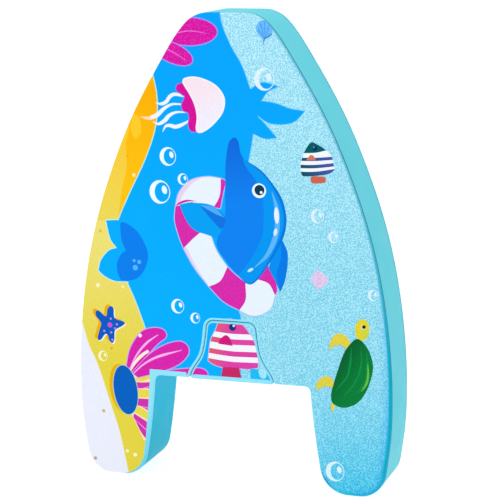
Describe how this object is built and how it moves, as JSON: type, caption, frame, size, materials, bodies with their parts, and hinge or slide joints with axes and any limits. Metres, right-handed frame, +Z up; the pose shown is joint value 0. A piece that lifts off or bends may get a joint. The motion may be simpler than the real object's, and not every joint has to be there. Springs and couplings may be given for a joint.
{
  "type": "kickboard float",
  "caption": "A-shaped foam swimming float with pebbled faces, a printed front, a notch between two rounded legs and a bell-shaped push-fit plug above the notch.",
  "frame": {"origin": "middle of the thickness, midway between the legs, level with the bottom of the feet", "axes": "+Z up along the board's length, -Y out of the printed face, +X across the board to the viewer's right"},
  "size_m": [0.2986, 0.06, 0.43],
  "materials": {
    "core_foam": "smooth closed-cell foam",
    "printed_skin": "pebbled foam sheet with printed artwork",
    "plain_skin": "pebbled foam sheet"
  },
  "bodies": {
    "board": {"board_core": "core_foam", "front_skin": "printed_skin", "back_skin": "plain_skin"},
    "plug": {"plug_core": "core_foam", "plug_front_skin": "printed_skin", "plug_back_skin": "plain_skin"}
  },
  "joints": [
    {"name": "plug_slide", "type": "slide", "parent": "board", "child": "plug", "axis": [0, 0, -1], "range_m": [0, 0.07]}
  ]
}
